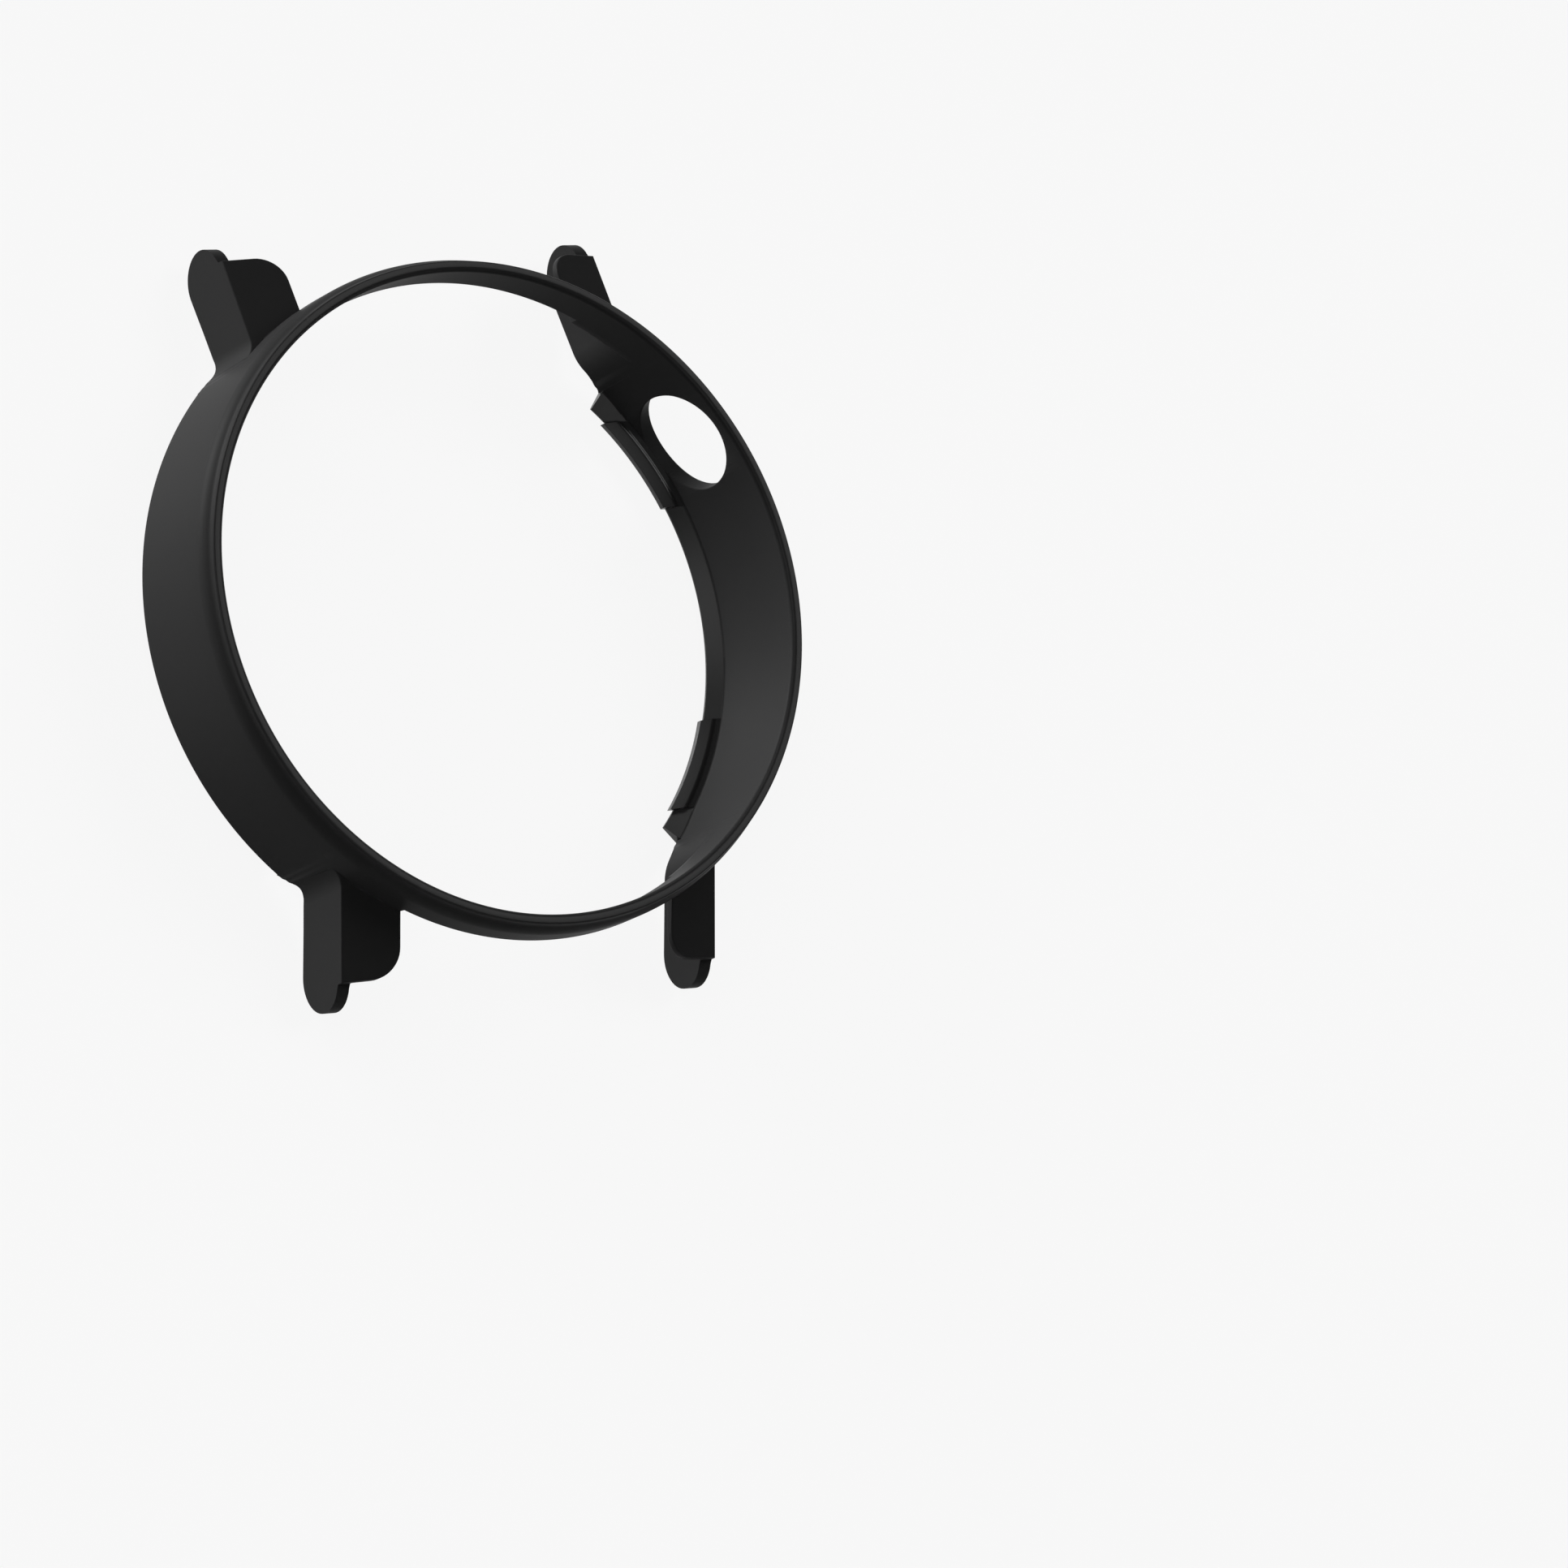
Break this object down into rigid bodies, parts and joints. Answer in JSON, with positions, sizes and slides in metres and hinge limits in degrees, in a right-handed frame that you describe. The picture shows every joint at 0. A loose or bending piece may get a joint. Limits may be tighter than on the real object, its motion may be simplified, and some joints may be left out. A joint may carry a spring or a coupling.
{
  "type": "smartwatch bumper case",
  "caption": "Black moulded bumper case that snaps round a round smartwatch: open front and back, crown opening, lug guards at the strap ends",
  "frame": {"origin": "on the ring's axis, at the height of the four lug tips that the case stands on", "axes": "+Z towards the screen side, +Y towards 12 o'clock along the strap, +X towards 3 o'clock, the crown's side"},
  "size_m": [0.048, 0.054, 0.0108],
  "materials": {
    "moulded_black": "matte"
  },
  "bodies": {
    "front_ring": {"bezel_lip": "moulded_black", "front_shoulder": "moulded_black", "upper_strap_band": "moulded_black", "lower_strap_band": "moulded_black"},
    "left_skirt": {"left_side_wall": "moulded_black", "left_back_flange": "moulded_black", "left_upper_catch": "moulded_black", "left_lower_catch": "moulded_black", "upper_left_lug_bridge": "moulded_black", "upper_left_lug_plate": "moulded_black", "upper_left_lug_tongue": "moulded_black", "lower_left_lug_bridge": "moulded_black", "lower_left_lug_plate": "moulded_black", "lower_left_lug_tongue": "moulded_black"},
    "right_skirt": {"right_side_wall": "moulded_black", "right_back_flange": "moulded_black", "right_upper_catch": "moulded_black", "right_lower_catch": "moulded_black", "upper_right_lug_bridge": "moulded_black", "upper_right_lug_plate": "moulded_black", "upper_right_lug_tongue": "moulded_black", "lower_right_lug_bridge": "moulded_black", "lower_right_lug_plate": "moulded_black", "lower_right_lug_tongue": "moulded_black"}
  },
  "joints": [
    {"name": "left_skirt_flex", "type": "hinge", "parent": "front_ring", "child": "left_skirt", "pos_m": [-0.024, 0, 0.00974], "axis": [0, 1, 0], "range_deg": [0, 10], "stiffness_Nm_per_rad": 0.05},
    {"name": "right_skirt_flex", "type": "hinge", "parent": "front_ring", "child": "right_skirt", "pos_m": [0.024, 0, 0.00974], "axis": [0, -1, 0], "range_deg": [0, 10], "stiffness_Nm_per_rad": 0.05}
  ]
}
